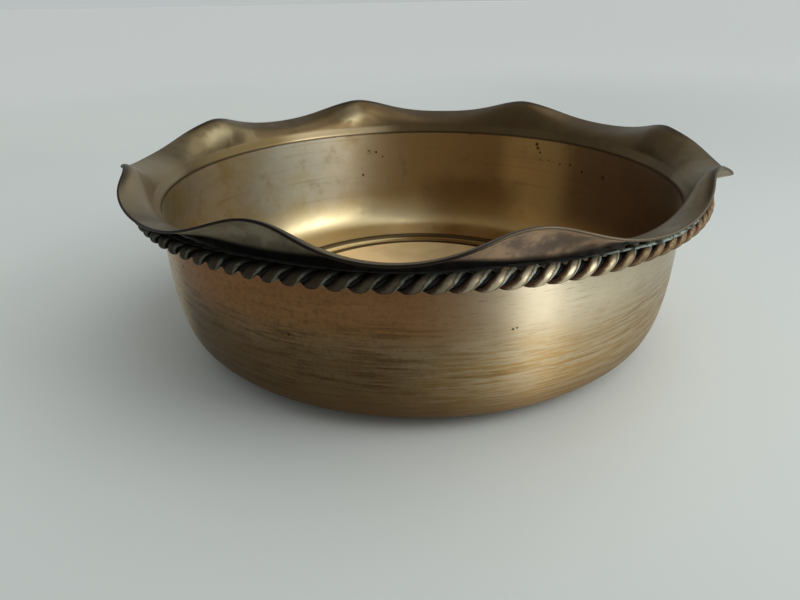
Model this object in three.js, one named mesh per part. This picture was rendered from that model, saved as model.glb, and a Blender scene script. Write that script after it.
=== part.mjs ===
// A decorative bowl of thin spun brass. Its rim flares out over a ring of twisted wire,
// and eight lips are pinched up out of the flare, so that the edge runs in a wave.
// Millimetres, +Z up. The origin is the centre of the foot ring, level with its underside.

import * as THREE from "three";

// Driving dimensions
const SHEET = 0.9; // thickness of the spun sheet
const FLOOR_Z = 2.25; // middle of the sheet above the table, at the flat centre of the floor
const FOOT_IN = 68; // inner radius of the ring pressed down as a foot
const FOOT_OUT = 82; // outer radius of that ring
const FOOT_SLOPE = 3.2; // radial width of each sloping side of the foot ring
const WALL_R = 104.9; // middle of the sheet, where the wall stands upright
const CORNER_TOP = 41; // height at which the round corner has become the upright wall
const WALL_TOP = 57.3; // height of the crease where the wall turns outwards
const EDGE_R = 119.4; // edge of the flare, halfway between two lips
const EDGE_Z = 66.2;

// The two points that pull the curve of the round corner, and of the flare, as (radius, height)
const CORNER_PULLS = [
  [98, FLOOR_Z + 0.6],
  [WALL_R, FLOOR_Z + 0.4],
];
const FLARE_PULLS = [
  [109, 63.6],
  [112.2, 64],
];

// Where the flare can bend: inside this point the wire ring holds the sheet round.
const HINGE_R = 107.2;
const HINGE_Z = 60.8;

// The pinched lips: direction from +X, rise of the edge, and how far the edge is drawn in.
// They were shaped by hand, so no two are the same.
const LIPS = [
  { angle: 13, rise: 7.2, draw: 4.8 },
  { angle: 59, rise: 8.0, draw: 5.2 },
  { angle: 108, rise: 8.4, draw: 5.3 },
  { angle: 153, rise: 8.2, draw: 5.1 },
  { angle: 202, rise: 8.3, draw: 5.6 },
  { angle: 247, rise: 9.2, draw: 4.4 },
  { angle: 285.5, rise: 8.2, draw: 4.6 },
  { angle: 327, rise: 10.5, draw: 5.1 },
];
const LIP_RISE_WIDTH = 11.3; // degrees from a lip's middle at which its rise has mostly faded
const LIP_RISE_POWER = 1.9; // a little fuller than a bell curve
const LIP_DRAW_WIDTH = 7.3; // degrees in which the drawing in fades
const LIP_CURL = 1.75; // the rise follows a sine to this angle in radians, past its top at pi/2
const LIP_DRAW_POWER = 1.4; // how gently the drawing in grows from the hinge
const TIP_OUT = 0.8; // the very tip of each lip is pulled out again, over TIP_WIDTH degrees
const TIP_WIDTH = 2.9;

// The twisted wire ring
const ROPE_R = 111.5; // radius of the ring's own middle line
const ROPE_Z = 59.5;
const STRANDS = 2;
const ROPE_TURNS = 52; // turns of each strand round the other, once round the bowl
const WIRE_R = 1.5; // radius of one wire
const LAY_R = 1.75; // distance of a wire's middle from the ring's middle line

// The seam of solder, in the wedge between the wire ring and the flare: each corner of its
// section as a distance out from the ring's middle line and a height above it.
const SOLDER_SECTION = [
  [0.5, 3.52],
  [1.9, 3.25],
  [2.0, 3.85],
  [0.9, 3.7],
];

// Facets
const BOWL_SEGMENTS = 96;
const CORNER_STEPS = 9;
const FLARE_STEPS = 7;
const WIRE_SIDES = 6;
const WIRE_STEPS_PER_TURN = 7;

const TURN = 2 * Math.PI;

// ---- materials ----

const brass = new THREE.MeshStandardMaterial({ color: 0x9c7f4c, metalness: 1, roughness: 0.38 });
const darkBrass = new THREE.MeshStandardMaterial({ color: 0x6b5337, metalness: 1, roughness: 0.45 });
const solder = new THREE.MeshStandardMaterial({ color: 0x59625c, metalness: 0.7, roughness: 0.7 });

// ---- the bowl ----

// Middle line of the sheet from the axis to the edge, in (radius, height), between two lips.
function middleLine() {
  const footZ = SHEET / 2;
  const floor = new THREE.Path();
  floor.moveTo(0, FLOOR_Z);
  floor.lineTo(FOOT_IN, FLOOR_Z);
  floor.lineTo(FOOT_IN + FOOT_SLOPE, footZ);
  floor.lineTo(FOOT_OUT - FOOT_SLOPE, footZ);
  floor.lineTo(FOOT_OUT, FLOOR_Z);
  const corner = new THREE.Path();
  corner.moveTo(FOOT_OUT, FLOOR_Z);
  corner.bezierCurveTo(...CORNER_PULLS.flat(), WALL_R, CORNER_TOP);
  const rim = new THREE.Path();
  rim.moveTo(WALL_R, WALL_TOP);
  rim.lineTo(HINGE_R, HINGE_Z);
  const flare = new THREE.Path();
  flare.moveTo(HINGE_R, HINGE_Z);
  flare.bezierCurveTo(...FLARE_PULLS.flat(), EDGE_R, EDGE_Z);
  return {
    fixed: [...floor.getPoints(), ...corner.getPoints(CORNER_STEPS).slice(1), ...rim.getPoints()],
    flare: flare.getPoints(FLARE_STEPS).slice(1),
  };
}

// How much the lips lift the edge and draw it in, in a direction round the bowl.
function lipShift(direction) {
  let rise = 0;
  let draw = 0;
  for (const lip of LIPS) {
    const apart = Math.abs(THREE.MathUtils.euclideanModulo(direction - lip.angle + 180, 360) - 180);
    rise += lip.rise * Math.exp(-((apart / LIP_RISE_WIDTH) ** LIP_RISE_POWER));
    draw += lip.draw * Math.exp(-((apart / LIP_DRAW_WIDTH) ** 2));
    draw -= TIP_OUT * Math.exp(-((apart / TIP_WIDTH) ** 2));
  }
  return { rise, draw };
}

// A line moved sideways by a distance, to the right of its direction, with mitred corners.
function offsetLine(line, distance) {
  const normal = (from, to) => {
    const along = to.clone().sub(from).normalize();
    return new THREE.Vector2(along.y, -along.x);
  };
  return line.map((point, i) => {
    const incoming = i > 0 ? normal(line[i - 1], point) : new THREE.Vector2(0, -1);
    const outgoing = i < line.length - 1 ? normal(point, line[i + 1]) : incoming;
    const mitre = incoming.clone().add(outgoing).normalize();
    return point.clone().addScaledVector(mitre, distance / mitre.dot(incoming));
  });
}

// The closed outline of the sheet in one direction: out along the underside, back along the top.
function sheetSection(direction) {
  const { fixed, flare } = middleLine();
  const { rise, draw } = lipShift(direction);
  const bent = flare.map((point, i) => {
    const out = (i + 1) / flare.length;
    const lifted = Math.sin(LIP_CURL * out) / Math.sin(LIP_CURL);
    return new THREE.Vector2(point.x - draw * out ** LIP_DRAW_POWER, point.y + rise * lifted);
  });
  const middle = [...fixed, ...bent];
  const under = offsetLine(middle, SHEET / 2);
  const upper = offsetLine(middle, -SHEET / 2);
  return [...under, ...upper.reverse()];
}

function bowlGeometry() {
  const profile = sheetSection(0);
  const geometry = new THREE.LatheGeometry(profile, BOWL_SEGMENTS);
  const position = geometry.getAttribute("position");
  for (let i = 0; i <= BOWL_SEGMENTS; i++) {
    const turn = (i / BOWL_SEGMENTS) * TURN;
    const direction = THREE.MathUtils.radToDeg(turn) - 90; // the lathe starts at -Y once upright
    sheetSection(direction).forEach((point, j) => {
      const index = i * profile.length + j;
      position.setXYZ(index, point.x * Math.sin(turn), point.y, point.x * Math.cos(turn));
    });
  }
  return geometry.rotateX(Math.PI / 2);
}

// ---- the twisted wire ring ----

// One strand: a ring whose section travels in a helix about the ring's middle line.
// A slanting round wire cuts a plane through the bowl's axis in an ellipse, longer across the lay.
function strandGeometry(phase) {
  const steps = ROPE_TURNS * WIRE_STEPS_PER_TURN;
  const geometry = new THREE.TorusGeometry(ROPE_R, WIRE_R, WIRE_SIDES, steps);
  const position = geometry.getAttribute("position");
  const lead = (TURN * ROPE_R) / ROPE_TURNS;
  const across = Math.hypot(1, (TURN * LAY_R) / lead);
  for (let j = 0; j <= WIRE_SIDES; j++) {
    for (let i = 0; i <= steps; i++) {
      const turn = (i / steps) * TURN;
      const lay = ROPE_TURNS * turn + phase;
      const around = (j / WIRE_SIDES) * TURN - lay;
      const outward = LAY_R + WIRE_R * Math.cos(around);
      const sideways = WIRE_R * across * Math.sin(around);
      const radius = ROPE_R + outward * Math.cos(lay) - sideways * Math.sin(lay);
      const height = ROPE_Z + outward * Math.sin(lay) + sideways * Math.cos(lay);
      position.setXYZ(j * (steps + 1) + i, radius * Math.cos(turn), radius * Math.sin(turn), height);
    }
  }
  return geometry;
}

// ---- the solder ----

// A thin seam in the wedge between the top of the wire ring and the underside of the flare.
function solderGeometry() {
  const seam = SOLDER_SECTION.map(([out, up]) => new THREE.Vector2(ROPE_R + out, ROPE_Z + up));
  const geometry = new THREE.LatheGeometry([...seam, seam[0]], BOWL_SEGMENTS);
  return geometry.rotateX(Math.PI / 2);
}

// ---- assembly ----

function piece(name, geometry, material) {
  const mesh = new THREE.Mesh(geometry, material);
  mesh.name = name;
  return mesh;
}

const bowl = new THREE.Group();
bowl.add(piece("bowl_body", bowlGeometry(), brass));
const rope = new THREE.Group();
for (let i = 0; i < STRANDS; i++) {
  rope.add(piece(`rope_strand_${i + 1}`, strandGeometry((i / STRANDS) * TURN), darkBrass));
}
bowl.add(rope);
bowl.add(piece("rope_solder", solderGeometry(), solder));

export default bowl;
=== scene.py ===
# A fluted brass bowl with a ring of twisted wire, aged and brushed, on a pale table top.
# Metres, +Z up. Lengths written as n * MM are in millimetres. A bearing is a direction round
# the bowl in degrees, from +X and towards +Y; the camera looks from bearing -90.

import math

import bmesh
import bpy
import numpy as np
from mathutils import Matrix, Vector


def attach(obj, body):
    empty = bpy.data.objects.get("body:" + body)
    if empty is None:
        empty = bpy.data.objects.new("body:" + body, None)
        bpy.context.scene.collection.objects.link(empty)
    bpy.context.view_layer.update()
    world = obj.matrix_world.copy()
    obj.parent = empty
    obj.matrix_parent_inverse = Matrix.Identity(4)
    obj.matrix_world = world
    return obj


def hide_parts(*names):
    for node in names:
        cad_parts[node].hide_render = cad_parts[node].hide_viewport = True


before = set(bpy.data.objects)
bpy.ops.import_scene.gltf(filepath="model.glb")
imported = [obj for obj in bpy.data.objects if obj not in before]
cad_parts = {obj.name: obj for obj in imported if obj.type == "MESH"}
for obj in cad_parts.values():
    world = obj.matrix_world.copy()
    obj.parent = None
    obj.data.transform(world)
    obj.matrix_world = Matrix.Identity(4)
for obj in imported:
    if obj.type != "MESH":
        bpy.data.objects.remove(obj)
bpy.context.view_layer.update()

MM = 0.001
TURN = 2 * math.pi

# The bowl's sheet
SHEET = 0.9 * MM
FLOOR_Z = 2.25 * MM  # middle of the sheet at the centre of the floor
HUB_R = 3 * MM  # inside this radius the floor's mesh runs straight to one point on the axis
FOOT_IN, FOOT_OUT, FOOT_SLOPE = 68 * MM, 82 * MM, 3.2 * MM
BEND, BEND_DROP = 1.1 * MM, 0.62 * MM  # each rounded bend of the foot ring: its reach, and drop
WALL_R = 104.9 * MM
CORNER_TOP = 41 * MM
WALL_TOP = 57.3 * MM  # the crease where the wall turns outwards
HINGE_R, HINGE_Z = 107.2 * MM, 60.8 * MM  # the flare bends outside this ring
EDGE_R, EDGE_Z = 119.25 * MM, 66.2 * MM

# The points that pull the curves of the round corner, the crease and the flare
CORNER_PULLS = [(98 * MM, FLOOR_Z + 0.6 * MM), (WALL_R, FLOOR_Z + 0.4 * MM)]
CREASE_PULLS = [(105.9 * MM, 58.7 * MM), (106.6 * MM, 59.8 * MM)]
FLARE_PULLS = [(109 * MM, 63.6 * MM), (112.2 * MM, 64 * MM)]

# Work by hand: dents in the wall, a groove along the crease inside, and the rounding of the
# edge, which is drawn back by a share of its own radius
DENT = 0.14 * MM
GROOVE_DEPTH, GROOVE_WIDTH = 0.16 * MM, 0.45 * MM
EDGE_BACK = 0.75

# The pinched lips: bearing, rise of the edge and drawing in, in millimetres
LIPS = [
    (13, 7.2, 4.8), (59, 8.0, 5.2), (108, 8.4, 5.3), (153, 8.2, 5.1),
    (202, 8.3, 5.6), (247, 9.2, 4.4), (285.5, 8.2, 4.6), (327, 10.5, 5.1),
]
LIP_RISE_WIDTH, LIP_RISE_POWER = 11.3, 1.9
LIP_DRAW_WIDTH, LIP_DRAW_POWER = 7.3, 1.4
LIP_CURL = 1.75  # the rise follows a sine to this angle, past its top, so the edge curls out
TIP_OUT, TIP_WIDTH = 0.8, 2.9

# The twisted wire ring
ROPE_R, ROPE_Z = 111.5 * MM, 59.5 * MM
ROPE_TURNS = 52
WIRE_R, LAY_R = 1.72 * MM, 1.55 * MM
WIRE_WEAR = 0.03 * MM

# The solder: a core drawn in between the wires, round the ring's middle line, and a ragged seam
# above them
SOLDER_CORE = 1.75 * MM
SEAM_OUT, SEAM_GAP = 1.1 * MM, 0.18 * MM  # out from the middle line, and above the wires
SEAM_HALF, SEAM_RAGGED = 0.9 * MM, 0.55  # half its width, and how much that varies
SEAM_HALF_RANGE = (0.35 * MM, 1.3 * MM)
SEAM_THICK = 0.4  # half its thickness, as a share of half its width
SEAM_THICK_RANGE = (0.15 * MM, 0.36 * MM)
SEAM_WANDER = 0.28 * MM
SEAM_LIFT = 0.08  # the share of a lip's rise that the seam follows
SEAM_SLOPE = math.radians(12)

# Where the seam is heaped up, in degrees, and how much wider, thicker, further out and lower
# it is there
HEAP_BEARING, HEAP_SPREAD = 312, 11
HEAP_WIDER, HEAP_THICKER = 0.5 * MM, 0.8
HEAP_OUT, HEAP_DOWN = 1.5 * MM, 0.5 * MM

# Dark specks on the wall: bearing, height and size in millimetres
INSIDE_SPECKS = [
    (108.3, 33.5, 1.1), (103.7, 46.5, 1.0), (101.6, 43.6, 0.8), (106, 47.5, 0.7),
    (51.4, 54.2, 1.4), (50.9, 52.2, 1.3), (50.2, 50.0, 0.9), (39.5, 46.3, 0.9), (35, 44.2, 1.0),
    (27, 44.2, 1.2), (47, 46.5, 0.6), (43, 45.5, 0.7),
    (160, 30, 0.8), (255, 40, 0.9), (300, 24, 0.8),
]
OUTSIDE_SPECKS = [
    (-74.9, 40, 0.6), (-74.2, 40.3, 0.5), (-58.7, 27.3, 0.6), (-140, 46, 0.8), (-84, 26, 0.5),
    (-112, 36, 0.7), (30, 35, 0.8), (75, 22, 0.6), (140, 40, 0.7), (172, 28, 0.6),
]

# Marks on the flare: bearing, radius, height and size in millimetres, and share. The first two
# are painted gleams on lips rubbed glossier, the others small dark stains.
LIP_POLISH_AND_GLEAMS = [(155.5, 108.7, 67.6, 8.5, 0.5), (110, 108.6, 67.2, 8.5, 0.32)]
SMALL_STAIN = (111.5, 107.9, 64.2, 2.4, 0.8)
BROAD_STAIN = (148, 108.2, 65, 4.5, 0.6)

# Lines of painted shade in the groove that the foot ring makes inside: radius and half width
GROOVE_SHADE_LINES = [(81 * MM, 1.1 * MM), (73.6 * MM, 1.6 * MM)]

# Mesh detail
BOWL_STEPS = 400
EDGE_STEPS = 7
STRAND_STEPS = ROPE_TURNS * 22
STRAND_SIDES = 18
SOLDER_STEPS = 1200
SOLDER_SIDES = 10

# Brightness of the room's light, and of the backdrop that only the camera sees
ROOM_DIM, ROOM_BRIGHT, BACKDROP = 0.27, 0.42, 0.52
ROOM_COLOUR = (0.94, 1.0, 1.0, 1)
BRIGHT_SIDE = (50, 25)  # bearing, and height in degrees, of the room's brighter side
LAMP_COLOUR = (0.95, 1, 1)

# The camera's place, and its turns in degrees: downwards, to the right and clockwise
CAMERA_PLACE = (0, -0.2581, 0.1268)
CAMERA_PITCH, CAMERA_YAW, CAMERA_ROLL = 26.25, -1.96, 1.07
CAMERA_LENS, CAMERA_SENSOR = 27.44, 36

rng = np.random.default_rng(7)

# The bowl without the table, for a lamp that lights nothing else
bowl_pieces = bpy.data.collections.new("bowl_pieces")


# ---- meshes ----

def grid_mesh(name, grid, closed_section=True):
    """A surface through rings of points: grid[i, j] is point j of the section in direction i.
    A section is a closed loop, or else starts and ends on the axis."""
    around, along = grid.shape[:2]
    number = np.arange(around * along).reshape(around, along)
    points = grid.reshape(-1, 3)
    if closed_section:
        quads = quad_faces(number, np.roll(number, -1, axis=1))
        faces = quads.reshape(-1, 4).tolist()
    else:
        quads = quad_faces(number[:, :-1], number[:, 1:])
        faces = quads.reshape(-1, 4).tolist()
        for column, ends in ((number[:, 0], grid[:, 0]), (number[:, -1], grid[:, -1])):
            pole = np.array([[0, 0, ends[:, 2].mean()]])
            points = np.vstack([points, pole])
            ring = np.stack([column, np.roll(column, -1)], axis=1)
            if column[0] == 0:
                ring = ring[:, ::-1]
            faces += [[int(a), int(b), len(points) - 1] for a, b in ring]
    mesh = bpy.data.meshes.new(name)
    mesh.from_pydata(points.tolist(), [], faces)
    mesh.shade_smooth()
    mesh.validate()
    return mesh


def quad_faces(near, far):
    """Quads between two columns of point numbers, and between each direction and the next."""
    return np.stack([near, np.roll(near, -1, axis=0), np.roll(far, -1, axis=0), far], axis=-1)


def join_meshes(name, meshes):
    """One mesh that holds several closed bodies."""
    joined = bmesh.new()
    for mesh in meshes:
        joined.from_mesh(mesh)
    whole = bpy.data.meshes.new(name)
    joined.to_mesh(whole)
    joined.free()
    return whole


def add_values(mesh, name, values):
    """A number for each point of the mesh, which a material can read. Points on the axis get 0."""
    layer = mesh.attributes.new(name, "FLOAT", "POINT")
    values = np.append(values.ravel(), np.zeros(len(mesh.vertices) - values.size))
    layer.data.foreach_set("value", values.astype(np.float32))


def add_piece(name, mesh, materials, node):
    """A piece that stands for one CAD node."""
    piece = bpy.data.objects.new(name, mesh)
    bpy.context.scene.collection.objects.link(piece)
    bowl_pieces.objects.link(piece)
    for material in materials:
        mesh.materials.append(material)
    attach(piece, "root")
    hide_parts(node)


def bezier(points, count):
    """Points on a cubic curve, without its first."""
    t = np.linspace(0, 1, count + 1)[1:, None]
    a, b, c, d = np.array(points)
    return (1 - t) ** 3 * a + 3 * t * (1 - t) ** 2 * b + 3 * t**2 * (1 - t) * c + t**3 * d


def line(start, end, count):
    """Points on a straight line, without its first."""
    t = np.linspace(0, 1, count + 1)[1:, None]
    return np.array(start) * (1 - t) + np.array(end) * t


def around_axis(turn, radius, height):
    """Points at a radius and a height, turned round the bowl's axis, one row for each turn."""
    return np.stack([radius * np.cos(turn)[:, None], radius * np.sin(turn)[:, None], height],
                    axis=-1)


def smooth_waves(direction, along, size, count, most_turns, most_along):
    """Soft dents: a sum of random waves round the bowl and along its section."""
    total = np.zeros(np.broadcast(direction, along).shape)
    for _ in range(count):
        turns = rng.integers(1, most_turns + 1)
        rate = rng.uniform(0.2, 1) * most_along
        start, shift = rng.uniform(0, TURN, 2)
        total += np.cos(turns * direction + start) * np.cos(rate * along + shift)
    return total * size / math.sqrt(count)


# ---- the bowl ----

def middle_line():
    """The middle of the sheet from near the axis to the edge, between two lips, and the
    number of points that the lips leave alone."""
    foot = SHEET / 2
    hub = (HUB_R, FLOOR_Z)
    floor_in, floor_out = (FOOT_IN, FLOOR_Z), (FOOT_OUT, FLOOR_Z)
    foot_in, foot_out = (FOOT_IN + FOOT_SLOPE, foot), (FOOT_OUT - FOOT_SLOPE, foot)
    wall_foot, crease, hinge = (WALL_R, CORNER_TOP), (WALL_R, WALL_TOP), (HINGE_R, HINGE_Z)

    # Where the small bends that round off the corners start and end
    before_ring = (FOOT_IN - BEND, FLOOR_Z)
    slope_in = (FOOT_IN + BEND, FLOOR_Z - BEND_DROP)
    flat_in = (FOOT_IN + FOOT_SLOPE + BEND, foot)
    flat_out = (FOOT_OUT - FOOT_SLOPE - BEND, foot)
    slope_out = (FOOT_OUT - BEND, FLOOR_Z - BEND_DROP)
    after_ring = (FOOT_OUT + BEND, FLOOR_Z + 0.04 * MM)
    upper_wall = (WALL_R, WALL_TOP - 1.5 * MM)
    below_crease = (WALL_R, WALL_TOP - 0.4 * MM)
    above_crease = (WALL_R + 0.22 * MM, WALL_TOP + 0.33 * MM)

    fixed = np.vstack([
        [hub],
        line(hub, before_ring, 16),
        bezier([before_ring, floor_in, floor_in, slope_in], 4),
        bezier([slope_in, foot_in, foot_in, flat_in], 6),
        line(flat_in, flat_out, 3),
        bezier([flat_out, foot_out, foot_out, slope_out], 6),
        bezier([slope_out, floor_out, floor_out, after_ring], 4),
        bezier([after_ring, *CORNER_PULLS, wall_foot], 26),
        line(wall_foot, upper_wall, 6),
        line(upper_wall, below_crease, 4),
        bezier([below_crease, crease, crease, above_crease], 4),
        bezier([above_crease, *CREASE_PULLS, hinge], 8),
    ])
    flare = bezier([hinge, *FLARE_PULLS, (EDGE_R, EDGE_Z)], 24)
    return np.vstack([fixed, flare]), len(fixed)


def lip_shift(direction):
    """How far the lips lift the edge and draw it in, in each direction in degrees."""
    rise = np.zeros_like(direction)
    draw = np.zeros_like(direction)
    for bearing, lip_rise, lip_draw in LIPS:
        apart = np.abs((direction - bearing + 180) % 360 - 180)
        rise += lip_rise * MM * np.exp(-((apart / LIP_RISE_WIDTH) ** LIP_RISE_POWER))
        draw += lip_draw * MM * np.exp(-((apart / LIP_DRAW_WIDTH) ** 2))
        draw -= TIP_OUT * MM * np.exp(-((apart / TIP_WIDTH) ** 2))
    return rise, draw


def bowl_mesh():
    """The whole sheet: out along the underside, round the edge, and back along the inside."""
    middle, fixed = middle_line()
    turn = np.arange(BOWL_STEPS) / BOWL_STEPS * TURN
    rise, draw = lip_shift(np.degrees(turn))
    out = np.arange(1, len(middle) - fixed + 1) / (len(middle) - fixed)
    section = np.repeat(middle[None], BOWL_STEPS, axis=0)
    section[:, fixed:, 0] -= draw[:, None] * out**LIP_DRAW_POWER
    section[:, fixed:, 1] += rise[:, None] * np.sin(LIP_CURL * out) / math.sin(LIP_CURL)

    # Hand work leaves the wall a little uneven. The foot and the wire ring stay true.
    radius, height = section[..., 0], section[..., 1]
    free = np.clip((radius - FOOT_OUT) / (8 * MM), 0, 1)
    free *= np.clip((WALL_TOP - 1 * MM - height) / (6 * MM), 0, 1)
    along = (radius + height) / (30 * MM)
    dent = smooth_waves(turn[:, None], along, DENT, count=14, most_turns=9, most_along=1.6)

    step = np.gradient(section, axis=1)
    step /= np.linalg.norm(step, axis=2, keepdims=True)
    normal = np.stack([step[..., 1], -step[..., 0]], axis=2)
    section = section - normal * (free * np.abs(dent))[..., None]
    half = SHEET / 2
    under = section + normal * half
    upper = section - normal * half
    from_crease = np.hypot(radius - WALL_R, height - WALL_TOP)
    groove = GROOVE_DEPTH * np.exp(-((from_crease / GROOVE_WIDTH) ** 2))
    upper += normal * groove[..., None]

    swing = np.linspace(0, math.pi, EDGE_STEPS + 2)[1:-1]
    edge = section[:, -1:] + half * (
        normal[:, -1:] * np.cos(swing)[None, :, None] + step[:, -1:] * np.sin(swing)[None, :, None]
    )
    edge -= step[:, -1:] * half * EDGE_BACK
    loop = np.concatenate([under[:, :-1], edge, upper[:, -2::-1]], axis=1)
    grid = around_axis(turn, loop[..., 0], loop[..., 1])
    mesh = grid_mesh("bowl_body_shell", grid, closed_section=False)

    # Three materials: outside, flare and inside. They meet at the crease, and the last faces
    # are the two fans round the axis, first below and then above.
    points = grid.shape[1]
    crease = int(np.argmin(from_crease[0]))
    place = np.tile(np.arange(points - 1), (BOWL_STEPS, 1)).ravel()
    slots = np.where(place < crease, 0, np.where(place < points - 1 - crease, 1, 2))
    slots = np.append(slots, [0] * BOWL_STEPS + [2] * BOWL_STEPS)
    mesh.polygons.foreach_set("material_index", slots.astype(np.int32))

    # "to_edge" is the distance to the edge, and "below" is 1 on the underside and 0 on top.
    to_edge = np.linalg.norm(section - section[:, -1:], axis=2)
    at_edge = np.zeros((BOWL_STEPS, EDGE_STEPS))
    add_values(mesh, "to_edge", np.hstack([to_edge[:, :-1], at_edge, to_edge[:, -2::-1]]))
    below = np.concatenate([np.ones(len(middle) - 1), np.linspace(1, 0, EDGE_STEPS),
                            np.zeros(len(middle) - 1)])
    add_values(mesh, "below", np.tile(below, (BOWL_STEPS, 1)))
    return mesh


# ---- the twisted wire ring ----

def strand_mesh(name, phase):
    """One wire. It cuts a plane through the axis in an ellipse, longer across the lay. "flank"
    is the angle round the wire in degrees, from 0 on the side away from the ring's middle."""
    turn = np.arange(STRAND_STEPS) / STRAND_STEPS * TURN
    lay = (ROPE_TURNS * turn + phase)[:, None]
    around = (np.arange(STRAND_SIDES) / STRAND_SIDES * TURN)[None] - lay
    lead = TURN * ROPE_R / ROPE_TURNS
    across = math.hypot(1, TURN * LAY_R / lead)
    wear = smooth_waves(turn[:, None], around, WIRE_WEAR, count=10, most_turns=130, most_along=1.0)
    wire = WIRE_R - np.abs(wear)
    outward = LAY_R + wire * np.cos(around)
    sideways = wire * across * np.sin(around)
    radius = ROPE_R + outward * np.cos(lay) - sideways * np.sin(lay)
    height = ROPE_Z + outward * np.sin(lay) + sideways * np.cos(lay)
    mesh = grid_mesh(name, around_axis(turn, radius, height))
    add_values(mesh, "flank", (180 - np.degrees(around)) % 360 - 180)
    return mesh


def solder_mesh():
    """A ragged line of solder on the underside of the flare, just above the wires, which goes
    up with the sheet under the lips, and a core between the wires."""
    turn = np.arange(SOLDER_STEPS) / SOLDER_STEPS * TURN
    rise, _ = lip_shift(np.degrees(turn))
    loop = np.arange(SOLDER_SIDES) / SOLDER_SIDES * TURN
    ragged = smooth_waves(turn, 0, SEAM_RAGGED, count=24, most_turns=200, most_along=1.0)
    heaped = np.exp(-(((np.degrees(turn) - HEAP_BEARING) / HEAP_SPREAD) ** 2))
    wide = np.clip(SEAM_HALF * (1 + ragged), *SEAM_HALF_RANGE) + HEAP_WIDER * heaped
    thick = np.clip(SEAM_THICK * wide, *SEAM_THICK_RANGE) * (1 + HEAP_THICKER * heaped)
    wander = smooth_waves(turn, 0, SEAM_WANDER, count=18, most_turns=90, most_along=1.0)
    seam_r = ROPE_R + SEAM_OUT + HEAP_OUT * heaped + wander
    seam_z = ROPE_Z + LAY_R + WIRE_R + SEAM_GAP + SEAM_LIFT * rise + 0.5 * wander
    seam_z -= HEAP_DOWN * heaped
    out = wide[:, None] * np.cos(loop)
    up = thick[:, None] * np.sin(loop)
    radius = seam_r[:, None] + out * math.cos(SEAM_SLOPE) - up * math.sin(SEAM_SLOPE)
    height = seam_z[:, None] + out * math.sin(SEAM_SLOPE) + up * math.cos(SEAM_SLOPE)
    core_r = np.tile(ROPE_R + SOLDER_CORE * np.cos(loop), (SOLDER_STEPS, 1))
    core_z = np.tile(ROPE_Z + SOLDER_CORE * np.sin(loop), (SOLDER_STEPS, 1))
    seam = grid_mesh("ring_0", around_axis(turn, radius, height))
    core = grid_mesh("ring_1", around_axis(turn, core_r, core_z))
    return join_meshes("rope_solder", [seam, core])


# ---- materials ----

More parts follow.
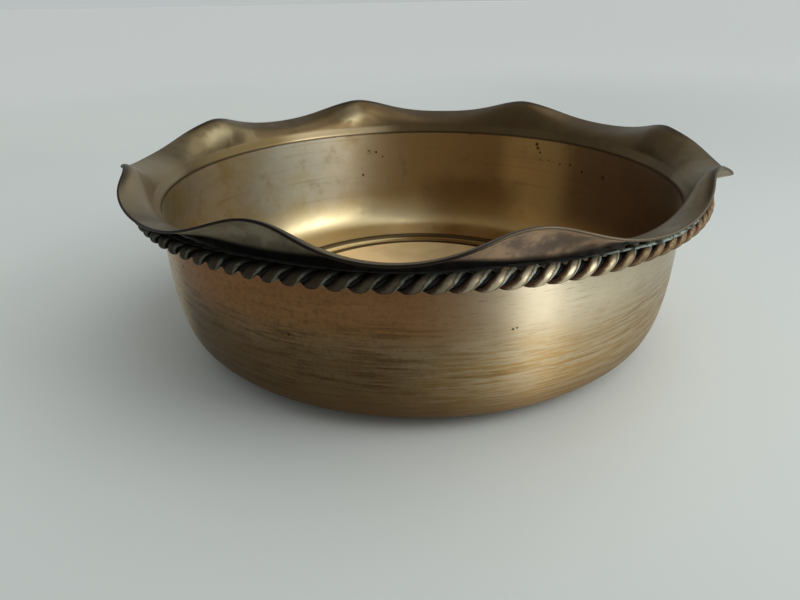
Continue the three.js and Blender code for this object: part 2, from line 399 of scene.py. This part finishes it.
class Nodes:
    """Short names for building one material's node tree."""

    def __init__(self, name):
        self.material = bpy.data.materials.new(name)
        self.material.use_nodes = True
        self.tree = self.material.node_tree
        self.tree.nodes.clear()
        self.shader = self.tree.nodes.new("ShaderNodeBsdfPrincipled")
        output = self.tree.nodes.new("ShaderNodeOutputMaterial")
        self.link(self.shader.outputs[0], output.inputs[0])
        self.place = self.tree.nodes.new("ShaderNodeTexCoord").outputs["Object"]
        split = self.tree.nodes.new("ShaderNodeSeparateXYZ")
        self.link(self.place, split.inputs[0])
        self.x, self.y, self.z = split.outputs
        self.radius = self.math("SQRT", self.math("ADD", self.math("MULTIPLY", self.x, self.x),
                                                  self.math("MULTIPLY", self.y, self.y)))

    def link(self, source, target):
        """Feeds an input from another node, or sets it to a number or a colour."""
        if isinstance(source, (int, float, tuple)):
            target.default_value = source
        else:
            self.tree.links.new(source, target)

    def math(self, operation, a, b=0.0, c=0.0, clamp=False):
        """One step of arithmetic. MULTIPLY_ADD gives a * b + c."""
        node = self.tree.nodes.new("ShaderNodeMath")
        node.operation = operation
        node.use_clamp = clamp
        for source, target in zip((a, b, c), node.inputs):
            self.link(source, target)
        return node.outputs[0]

    def vector(self, x, y, z):
        """A position made of three values."""
        node = self.tree.nodes.new("ShaderNodeCombineXYZ")
        for source, target in zip((x, y, z), node.inputs):
            self.link(source, target)
        return node.outputs[0]

    def distance(self, vector, point):
        """How far a position is from a fixed point."""
        node = self.tree.nodes.new("ShaderNodeVectorMath")
        node.operation = "DISTANCE"
        self.link(vector, node.inputs[0])
        node.inputs[1].default_value = point
        return node.outputs["Value"]

    def value(self, name):
        """A number that the mesh carries at its points."""
        node = self.tree.nodes.new("ShaderNodeAttribute")
        node.attribute_name = name
        return node.outputs["Fac"]

    def noise(self, vector, scale=1.0, detail=3.0, roughness=0.5, distortion=0.0):
        """Cloudy noise about 0.5, finer as the scale goes up."""
        node = self.tree.nodes.new("ShaderNodeTexNoise")
        self.link(vector, node.inputs["Vector"])
        for name, value in (("Scale", scale), ("Detail", detail), ("Roughness", roughness),
                            ("Distortion", distortion)):
            node.inputs[name].default_value = value
        return node.outputs["Fac"]

    def streaks(self, length, width, detail=3.0, roughness=0.5, shift=0.0):
        """Noise drawn out into streaks that run round the bowl, on the wall and the floor alike."""
        across = self.math("ADD", self.z, self.radius)
        vector = self.vector(
            self.math("MULTIPLY_ADD", self.x, 1 / length, shift),
            self.math("MULTIPLY", self.y, 1 / length),
            self.math("MULTIPLY", across, 1 / width),
        )
        return self.noise(vector, 1.0, detail, roughness)

    def ramp(self, value, low, high, out_low=0.0, out_high=1.0):
        """A smooth step from out_low to out_high as value goes from low to high."""
        node = self.tree.nodes.new("ShaderNodeMapRange")
        node.interpolation_type = "SMOOTHSTEP"
        self.link(value, node.inputs["Value"])
        for name, number in (("From Min", low), ("From Max", high), ("To Min", out_low),
                             ("To Max", out_high)):
            node.inputs[name].default_value = number
        return node.outputs["Result"]

    def near(self, value, centre, half_width, soft):
        """1 where value is within half_width of centre, fading out over soft."""
        apart = self.math("ABSOLUTE", self.math("SUBTRACT", value, centre))
        return self.ramp(apart, half_width + soft, half_width)

    def side(self, bearing, half_width, soft):
        """1 on one side of the bowl, within half_width degrees of a bearing, fading over soft."""
        a = math.radians(bearing)
        along = self.math("MULTIPLY_ADD", self.x, math.cos(a),
                          self.math("MULTIPLY", self.y, math.sin(a)))
        return self.ramp(self.math("DIVIDE", along, self.radius),
                         math.cos(math.radians(half_width + soft)),
                         math.cos(math.radians(half_width)))

    def from_rope(self):
        """Distance from the middle line of the wire ring."""
        out = self.math("SUBTRACT", self.radius, ROPE_R)
        up = self.math("SUBTRACT", self.z, ROPE_Z)
        return self.math("SQRT", self.math("MULTIPLY_ADD", out, out, self.math("MULTIPLY", up, up)))

    def mix(self, share, a, b):
        """A colour that goes from a to b as share goes from 0 to 1."""
        node = self.tree.nodes.new("ShaderNodeMix")
        node.data_type = "RGBA"
        self.link(share, node.inputs["Factor"])
        self.link(a, node.inputs[6])
        self.link(b, node.inputs[7])
        return node.outputs[2]

    def over(self, colour, shade, *shares):
        """A shade laid over a colour, by the product of the shares."""
        share = shares[0]
        for other in shares[1:]:
            share = self.math("MULTIPLY", share, other)
        return self.mix(share, colour, shade)

    def specks(self, colour, specks, radius, dark):
        """Small dark marks on the wall, each given by a bearing, a height and a size."""
        ragged = self.noise(self.place, 700, 3, 0.7)
        for bearing, height, size in specks:
            a = math.radians(bearing)
            point = (radius * math.cos(a), radius * math.sin(a), height * MM)
            away = self.math("MULTIPLY_ADD", ragged, size * MM, self.distance(self.place, point))
            share = self.ramp(away, 1.5 * size * MM, 0.9 * size * MM, 0, 0.85)
            colour = self.mix(share, colour, dark)
        return colour

    def patch(self, bearing, radius, height, size, share, ragged):
        """share at a point of the flare, given in degrees and millimetres, fading out over size.
        It is wider than it is high."""
        a = math.radians(bearing)
        stretch = 1.5
        place = self.vector(self.x, self.y, self.math("MULTIPLY", self.z, stretch))
        point = (radius * math.cos(a) * MM, radius * math.sin(a) * MM, height * MM * stretch)
        away = self.math("MULTIPLY_ADD", ragged, 2.4 * size * MM, self.distance(place, point))
        return self.ramp(away, 2.4 * size * MM, 1.3 * size * MM, 0, share)

    def bump(self, height, distance, strength=1.0, below=None):
        """A surface roughened by a height, on top of an earlier bump if one is given."""
        node = self.tree.nodes.new("ShaderNodeBump")
        node.inputs["Strength"].default_value = strength
        node.inputs["Distance"].default_value = distance
        self.link(height, node.inputs["Height"])
        if below is not None:
            self.link(below, node.inputs["Normal"])
        return node.outputs[0]

    def brushed(self, amount):
        """Gloss drawn out across the brushing, which runs round the bowl."""
        node = self.tree.nodes.new("ShaderNodeTangent")
        node.direction_type = "RADIAL"
        node.axis = "Z"
        self.link(node.outputs[0], self.shader.inputs["Tangent"])
        self.shader.inputs["Anisotropic"].default_value = amount
        self.shader.inputs["Anisotropic Rotation"].default_value = 0.25

    def finish(self, colour, roughness, normal, metallic=1.0):
        """The finished material."""
        self.link(colour, self.shader.inputs["Base Color"])
        self.link(roughness, self.shader.inputs["Roughness"])
        self.link(normal, self.shader.inputs["Normal"])
        self.link(metallic, self.shader.inputs["Metallic"])
        return self.material


def srgb(red, green, blue):
    """A colour from its usual 0 to 255 values."""
    def linear(value):
        value /= 255
        return value / 12.92 if value <= 0.04045 else ((value + 0.055) / 1.055) ** 2.4
    return (linear(red), linear(green), linear(blue), 1.0)


def outside_material():
    """The wall's outside: satin brass, streaked low down, browner at the front left."""
    n = Nodes("aged_brass_outside")
    broad = n.noise(n.place, 22, 4, 0.6)
    blotch = n.noise(n.vector(n.x, n.y, n.math("MULTIPLY", n.z, 2.5)), 60, 4, 0.65)
    pits = n.noise(n.place, 620, 4, 0.75)
    streak = n.streaks(20 * MM, 1.1 * MM, 5, 0.7)
    scratch = n.streaks(7 * MM, 0.4 * MM, 3, 0.6, shift=5.0)
    left_front = n.side(-128, 14, 40)
    low = n.ramp(n.z, 48 * MM, 26 * MM)

    # Broad clouds of age, and browner at the front left
    aged = n.math("MULTIPLY_ADD", broad, 1.2, -0.45)
    aged = n.math("MULTIPLY_ADD", left_front, 0.55, aged, clamp=True)
    colour = n.mix(aged, srgb(200, 188, 162), srgb(142, 112, 78))

    # A reddish band high at the front left, yellower streaks low down, and dark low down at the
    # front left
    high = n.near(n.z, 47 * MM, 5 * MM, 12 * MM)
    colour = n.over(colour, srgb(148, 100, 58), high, n.side(-116, 22, 22), 0.85)
    colour = n.over(colour, srgb(158, 126, 76), low, n.ramp(streak, 0.4, 0.6, 0.4, 0.95))
    colour = n.over(colour, srgb(86, 64, 40), low, n.side(-126, 24, 24), 0.75)

    # A painted reflection of the table: paler at the far left
    colour = n.over(colour, srgb(216, 194, 158), n.side(-166, 12, 16), 0.95)

    # Blotches drawn out by the brushing, then pits at the front left, and scratches
    stained = n.math("MULTIPLY_ADD", left_front, 0.28, 0.22)
    colour = n.over(colour, srgb(58, 42, 28), n.ramp(blotch, 0.42, 0.66),
                    n.ramp(streak, 0.44, 0.58), stained, n.ramp(n.z, 47 * MM, 38 * MM))
    colour = n.over(colour, srgb(70, 54, 36), n.ramp(pits, 0.44, 0.7), left_front, 0.4)
    colour = n.over(colour, srgb(96, 74, 48), n.ramp(scratch, 0.58, 0.72, 0, 0.55))
    # Painted shade: darker towards the bottom
    colour = n.over(colour, srgb(108, 80, 46), n.ramp(n.z, 24 * MM, 4 * MM, 0, 0.8))
    colour = n.specks(colour, OUTSIDE_SPECKS, WALL_R + SHEET / 2, srgb(44, 30, 20))
    # Painted shade under the wire ring
    colour = n.over(colour, srgb(20, 17, 14), n.ramp(n.from_rope(), 7.2 * MM, 6.2 * MM))

    roughness = n.ramp(streak, 0.3, 0.7, 0.38, 0.5)
    normal = n.bump(scratch, 0.05 * MM, 0.4)
    normal = n.bump(streak, 0.12 * MM, 0.35, normal)
    n.brushed(0.85)
    return n.finish(colour, roughness, normal)


def inside_material():
    """The inside: glossy on the floor, with a painted grey reflection on one side of the wall and
    painted shade in brown on the other.
    """
    n = Nodes("aged_brass_inside")
    broad = n.noise(n.place, 38, 5, 0.6, 0.3)
    blotch = n.noise(n.place, 90, 4, 0.65)
    streak = n.streaks(50 * MM, 1.8 * MM, 4, 0.55)
    scratch = n.streaks(16 * MM, 0.4 * MM, 3, 0.6, shift=9.0)
    on_floor = n.ramp(n.z, 24 * MM, 6 * MM)

    # The wall: a painted grey reflection at the back left, painted shade in browns at the back
    # right, and one painted pale reflection band in it
    colour = n.mix(n.ramp(broad, 0.42, 0.6), srgb(168, 156, 132), srgb(160, 142, 98))
    colour = n.over(colour, srgb(172, 168, 154), n.side(122, 12, 24),
                    n.ramp(n.z, 16 * MM, 30 * MM), n.ramp(blotch, 0.3, 0.6, 0.9, 0.5))
    colour = n.over(colour, srgb(172, 140, 96), n.side(40, 40, 50))
    colour = n.over(colour, srgb(132, 100, 64), n.side(30, 26, 30),
                    n.ramp(n.z, 3 * MM, 12 * MM, 0, 0.55))
    colour = n.over(colour, srgb(218, 188, 130), n.side(51, 3, 12), 0.5)
    colour = n.over(colour, srgb(134, 106, 76), n.side(12, 14, 18))

    # Faint blotches and streaks
    colour = n.over(colour, srgb(120, 98, 64), n.ramp(blotch, 0.56, 0.7), 0.35)
    colour = n.over(colour, srgb(112, 88, 58), n.ramp(streak, 0.55, 0.8, 0, 0.35))

    # The floor: a painted highlight that makes it paler at the back left by the corner, painted
    # shade in brown in the corner at the back, duller at the back left, and pale inside the foot
    # ring
    floor = n.mix(n.side(124, 16, 34), srgb(196, 156, 98), srgb(238, 216, 170))
    colour = n.mix(on_floor, colour, floor)
    colour = n.over(colour, srgb(122, 90, 50), n.near(n.z, 19 * MM, 7 * MM, 9 * MM),
                    n.side(72, 6, 14), 0.6)
    colour = n.over(colour, srgb(180, 156, 112), n.ramp(n.z, 10 * MM, 4 * MM), n.side(130, 15, 24))
    centre = n.ramp(n.radius, FOOT_IN + 0.6 * MM, FOOT_IN - 0.4 * MM)
    colour = n.over(colour, srgb(238, 206, 154), centre)

    # The foot ring: a line by its outer slope with a painted highlight at the back left, and two
    # lines of painted shade along its groove
    slope = n.mix(n.side(128, 14, 24), srgb(158, 122, 70), srgb(240, 216, 160))
    colour = n.over(colour, slope, n.near(n.radius, 78.6 * MM, 1.6 * MM, 1 * MM))
    for ring, half_width in GROOVE_SHADE_LINES:
        groove_shade = n.near(n.radius, ring, half_width, 1.1 * MM)
        colour = n.over(colour, srgb(50, 35, 18), groove_shade, 0.9)

    # Specks, and painted shade under the crease
    colour = n.specks(colour, INSIDE_SPECKS, WALL_R - SHEET / 2, srgb(50, 32, 18))
    under_crease = n.ramp(n.z, WALL_TOP - 1 * MM, WALL_TOP - 0.3 * MM, 0, 0.85)
    colour = n.over(colour, srgb(64, 47, 30), under_crease)

    roughness = n.math("MULTIPLY_ADD", on_floor, -0.15, n.ramp(blotch, 0.3, 0.7, 0.44, 0.54))
    roughness = n.math("MULTIPLY_ADD", centre, 0.14, roughness)
    normal = n.bump(scratch, 0.02 * MM, 0.2)
    normal = n.bump(blotch, 0.1 * MM, 0.08, normal)
    n.brushed(0.8)
    return n.finish(colour, roughness, normal)


def flare_material():
    """The flare and its lips, browned to taupe, with a dark edge. Below, it is black by the wire
    ring, partly tarnish and partly painted shade, and the lips are dull."""
    n = Nodes("aged_brass_flare")
    below = n.value("below")
    to_edge = n.value("to_edge")
    broad = n.noise(n.place, 45, 4, 0.6)
    blotch = n.noise(n.place, 130, 3, 0.6)
    streak = n.streaks(24 * MM, 1.4 * MM, 4, 0.6)

    # Above: taupe, with painted shade in brown at the back right
    above = n.mix(n.ramp(broad, 0.38, 0.62), srgb(126, 110, 80), srgb(104, 86, 60))
    above = n.over(above, srgb(98, 78, 54), n.ramp(streak, 0.5, 0.75, 0, 0.5))
    above = n.over(above, srgb(92, 72, 48), n.side(66, 50, 26), 0.75)

    # Painted shade darkens the bend by the crease at the left and a painted highlight makes it
    # paler at the back left, and the flare at the left is paler all over
    crease = n.ramp(n.z, 59.6 * MM, 57.6 * MM)
    above = n.over(above, srgb(76, 58, 36), crease, n.side(200, 40, 30))
    bend = n.ramp(n.z, 61.6 * MM, 60.2 * MM)
    above = n.over(above, srgb(112, 94, 62), bend, n.side(150, 14, 14))
    above = n.over(above, srgb(164, 144, 112), bend, n.side(116, 7, 14))
    above = n.over(above, srgb(156, 138, 108), n.side(196, 14, 12))

    # Two lips glossier from rubbing, with painted gleams, two stains, painted shade along the
    # crease, and painted shade on the tips
    rubbed = 0.0
    for bearing, radius, height, size, share in LIP_POLISH_AND_GLEAMS:
        rubbed = n.math("MAXIMUM", rubbed, n.patch(bearing, radius, height, size, share, broad))
    above = n.over(above, srgb(212, 196, 154), rubbed)
    above = n.over(above, srgb(84, 66, 44), n.patch(*SMALL_STAIN, blotch))
    above = n.over(above, srgb(92, 74, 58), n.patch(*BROAD_STAIN, broad))
    above = n.over(above, srgb(48, 34, 20), n.ramp(n.z, 57.75 * MM, 57.45 * MM, 0, 0.8))
    above = n.over(above, srgb(56, 44, 30), n.ramp(to_edge, 3.6 * MM, 1 * MM),
                   n.ramp(n.z, 69 * MM, 73 * MM), 0.85)

    # Below: dull, pinkish at the front right, and black by the wire ring: tarnish and painted
    # shade, which reaches further at the front left
    under = n.mix(n.ramp(blotch, 0.4, 0.6), srgb(162, 150, 124), srgb(136, 124, 102))
    pink = n.mix(n.ramp(blotch, 0.38, 0.6), srgb(146, 126, 110), srgb(208, 176, 144))
    under = n.over(under, pink, n.side(-62, 16, 18))
    reach = n.math("MULTIPLY_ADD", n.side(-135, 40, 30), -1.4 * MM, n.from_rope())
    under = n.over(under, srgb(18, 17, 15), n.ramp(reach, 5.5 * MM, 4.0 * MM))
    colour = n.mix(below, above, under)

    # The very edge: dark, and lighter at the front right
    edge = n.mix(n.side(-48, 24, 14), srgb(38, 30, 22), srgb(92, 80, 64))
    colour = n.over(colour, edge, n.ramp(to_edge, 0.5 * MM, 0.2 * MM))

    rough_above = n.math("MULTIPLY_ADD", rubbed, -0.08, n.ramp(broad, 0.3, 0.7, 0.32, 0.42))
    roughness = n.math("MULTIPLY_ADD", below, 0.2, rough_above)
    normal = n.bump(streak, 0.05 * MM, 0.4)
    normal = n.bump(blotch, 0.25 * MM, 0.2, normal)
    return n.finish(colour, roughness, normal, n.ramp(below, 0, 1, 1.0, 0.7))


def wire_material():
    """Brass wire, rubbed on the crowns and black with tarnish between the turns. A pale bloom,
    partly verdigris and partly a painted reflection, lies along one flank of each turn."""
    n = Nodes("aged_brass_wire")
    blotch = n.noise(n.place, 330, 3, 0.6)
    fine = n.noise(n.place, 900, 3, 0.6)
    wobble = n.math("MULTIPLY_ADD", blotch, 90, -45)
    flank = n.math("ADD", n.value("flank"), wobble)
    left_front = n.side(-145, 52, 20)
    bright_side = n.side(-50, 22, 30)

    # The rubbed metal: painted shade in brown on the far flank, a painted highlight at the front,
    # dark at the front left
    tan = n.mix(n.ramp(fine, 0.4, 0.65), srgb(136, 116, 86), srgb(112, 88, 70))
    tan = n.over(tan, srgb(84, 60, 46), n.near(flank, -112, 20, 24))
    crown_gloss_and_highlight = n.math("MULTIPLY", n.near(flank, -12, 20, 34), n.side(-80, 10, 14))
    tan = n.over(tan, srgb(224, 208, 176), crown_gloss_and_highlight, 0.8)
    tan = n.over(tan, srgb(50, 42, 32), left_front, 0.9)
    rubbed = n.near(flank, -8, 98, 22)
    colour = n.mix(rubbed, srgb(14, 13, 11), tan)

    # The bloom, partly verdigris and partly a painted reflection, darker at the front left
    bloom_and_sheen = n.math("MULTIPLY", n.near(flank, 75, 12, 14), n.ramp(fine, 0.36, 0.56, 0.45, 1.0))
    colour = n.over(colour, n.mix(left_front, srgb(164, 174, 164), srgb(80, 86, 78)), bloom_and_sheen)

    # Black under the flare, tarnish and painted shade, less on the bright side; painted shade along
    # the foot of the ring
    sheltered = n.ramp(n.z, ROPE_Z + 1.1 * MM, ROPE_Z + 2.7 * MM)
    sheltered = n.math("MULTIPLY", sheltered, n.math("MULTIPLY_ADD", bright_side, -0.45, 0.95))
    foot = n.ramp(n.z, ROPE_Z - 1.9 * MM, ROPE_Z - 3.1 * MM, 0, 0.7)
    black = n.math("MAXIMUM", sheltered, foot)
    colour = n.over(colour, srgb(16, 16, 15), black)

    shine = n.math("SUBTRACT", n.math("MAXIMUM", rubbed, bloom_and_sheen), black, clamp=True)
    roughness = n.math("MULTIPLY_ADD", bloom_and_sheen, -0.14, n.ramp(shine, 0, 1, 0.9, 0.64))
    roughness = n.math("MULTIPLY_ADD", crown_gloss_and_highlight, -0.2, roughness)
    n.shader.inputs["Specular IOR Level"].default_value = 0.1
    n.shader.inputs["IOR"].default_value = 1.2
    normal = n.bump(blotch, 0.12 * MM, 0.5)
    normal = n.bump(fine, 0.04 * MM, 0.3, normal)
    metallic = n.math("MULTIPLY", n.ramp(shine, 0, 0.8, 0.0, 0.75), n.math("SUBTRACT", 1, bloom_and_sheen))
    return n.finish(colour, roughness, normal, metallic)


def solder_material():
    """Solder black with tarnish, but for a greenish grey stretch at the front right."""
    n = Nodes("old_solder")
    blotch = n.noise(n.place, 420, 4, 0.6)
    colour = n.mix(n.ramp(blotch, 0.38, 0.58), srgb(52, 54, 50), srgb(140, 152, 144))
    clean = n.math("MULTIPLY", n.side(-46, 12, 9), n.ramp(n.z, 61.5 * MM, 62.3 * MM))
    colour = n.mix(clean, srgb(24, 25, 23), colour)
    roughness = n.math("MULTIPLY_ADD", clean, -0.3, n.ramp(blotch, 0.3, 0.7, 0.95, 0.8))
    n.shader.inputs["Specular IOR Level"].default_value = 0.15
    normal = n.bump(blotch, 0.25 * MM, 0.7)
    return n.finish(colour, roughness, normal, n.math("MULTIPLY", clean, 0.4))


def table_material():
    """A pale matt table, with painted shade a little greyer at the front and the right, and painted
    light that makes it white far away.
    """
    n = Nodes("pale_table")
    cloud = n.noise(n.place, 3, 3, 0.5)
    grain = n.noise(n.place, 300, 3, 0.6)
    colour = n.mix(n.ramp(cloud, 0.3, 0.7), srgb(242, 243, 238), srgb(236, 238, 234))
    colour = n.over(colour, srgb(194, 196, 194), n.ramp(n.y, -0.08, -0.34))
    colour = n.over(colour, srgb(214, 216, 214), n.ramp(n.x, -0.05, 0.25, 0, 0.6))
    colour = n.over(colour, srgb(253, 253, 250), n.ramp(n.radius, 0.4, 1.2))
    return n.finish(colour, 0.55, n.bump(grain, 0.05 * MM, 0.2), 0.0)


# ---- stage ----

def add_camera():
    """The photograph's viewing angle: close, and a hand's breadth above the rim."""
    data = bpy.data.cameras.new("camera")
    data.sensor_width = CAMERA_SENSOR
    data.lens = CAMERA_LENS
    camera = bpy.data.objects.new("camera", data)
    bpy.context.scene.collection.objects.link(camera)
    pitch, yaw, roll = (math.radians(a) for a in (CAMERA_PITCH, CAMERA_YAW, CAMERA_ROLL))
    right = Vector((math.cos(yaw), -math.sin(yaw), 0))
    level = Vector((math.sin(yaw), math.cos(yaw), 0))
    ahead = level * math.cos(pitch) - Vector((0, 0, math.sin(pitch)))
    up = level * math.sin(pitch) + Vector((0, 0, math.cos(pitch)))
    turned = right * math.cos(roll) - up * math.sin(roll)
    up = right * math.sin(roll) + up * math.cos(roll)
    camera.matrix_world = Matrix.Translation(CAMERA_PLACE) @ Matrix((
        (turned.x, up.x, -ahead.x, 0), (turned.y, up.y, -ahead.y, 0),
        (turned.z, up.z, -ahead.z, 0), (0, 0, 0, 1),
    ))
    bpy.context.scene.camera = camera


def towards(bearing, height):
    """The direction at a bearing, and at a height above the horizon in degrees."""
    a, e = math.radians(bearing), math.radians(height)
    return Vector((math.cos(a) * math.cos(e), math.sin(a) * math.cos(e), math.sin(e)))


def add_light(name, bearing, height, distance, size, power, spread=180, only=None):
    """A soft oblong lamp that faces the bowl. height and spread are in degrees.
    It lights everything, or only the objects of one collection."""
    data = bpy.data.lights.new(name, "AREA")
    data.shape = "RECTANGLE"
    data.size, data.size_y = size
    data.energy = power
    data.spread = math.radians(spread)
    data.color = LAMP_COLOUR
    lamp = bpy.data.objects.new(name, data)
    bpy.context.scene.collection.objects.link(lamp)
    if only:
        lamp.light_linking.receiver_collection = only
    lamp.location = towards(bearing, height) * distance
    lamp.rotation_euler = (-lamp.location).to_track_quat("-Z", "Y").to_euler()


def add_sun(bearing, height, width, strength):
    """Even soft light over the whole table, as from a wide window far away."""
    data = bpy.data.lights.new("daylight", "SUN")
    data.angle = math.radians(width)
    data.energy = strength
    data.color = LAMP_COLOUR
    lamp = bpy.data.objects.new("daylight", data)
    bpy.context.scene.collection.objects.link(lamp)
    lamp.rotation_euler = (-towards(bearing, height)).to_track_quat("-Z", "Y").to_euler()


def add_world():
    """Dim room light, brighter on one side. The camera itself sees a backdrop as pale
    as the table."""
    world = bpy.data.worlds.new("studio")
    world.use_nodes = True
    tree = world.node_tree
    background = tree.nodes["Background"]
    facing = tree.nodes.new("ShaderNodeVectorMath")
    facing.operation = "DOT_PRODUCT"
    tree.links.new(tree.nodes.new("ShaderNodeTexCoord").outputs["Generated"], facing.inputs[0])
    facing.inputs[1].default_value = towards(*BRIGHT_SIDE)
    room = tree.nodes.new("ShaderNodeMapRange")
    tree.links.new(facing.outputs["Value"], room.inputs["Value"])
    for name, value in (("From Min", -0.7), ("From Max", 0.8), ("To Min", ROOM_DIM),
                        ("To Max", ROOM_BRIGHT)):
        room.inputs[name].default_value = value
    choose = tree.nodes.new("ShaderNodeMix")
    tree.links.new(tree.nodes.new("ShaderNodeLightPath").outputs["Is Camera Ray"],
                   choose.inputs["Factor"])
    tree.links.new(room.outputs["Result"], choose.inputs[2])
    choose.inputs[3].default_value = BACKDROP
    tree.links.new(choose.outputs[0], background.inputs["Strength"])
    background.inputs["Color"].default_value = ROOM_COLOUR
    bpy.context.scene.world = world


def add_table():
    """A table top wide enough to reach the horizon."""
    bpy.ops.mesh.primitive_plane_add(size=60)
    table = bpy.context.object
    table.name = "table_top"
    table.data.materials.append(table_material())


# ---- making ----

add_piece("bowl_shell", bowl_mesh(), [outside_material(), flare_material(), inside_material()],
          "bowl_body")
wire = wire_material()
for number, phase in ((1, 0), (2, math.pi)):
    add_piece(f"rope_wire_{number}", strand_mesh(f"rope_wire_{number}_mesh", phase), [wire],
              f"rope_strand_{number}")
add_piece("solder_bead", solder_mesh(), [solder_material()], "rope_solder")
add_table()
add_world()
add_sun(bearing=6, height=50, width=80, strength=0.93)
add_light("window", bearing=-20, height=33, distance=0.8, size=(0.42, 0.36), power=1.6)
add_light("low_window", bearing=-45, height=12, distance=0.9, size=(0.24, 0.34), power=0.38,
          spread=60, only=bowl_pieces)
add_camera()
bpy.context.scene.view_settings.view_transform = "Standard"
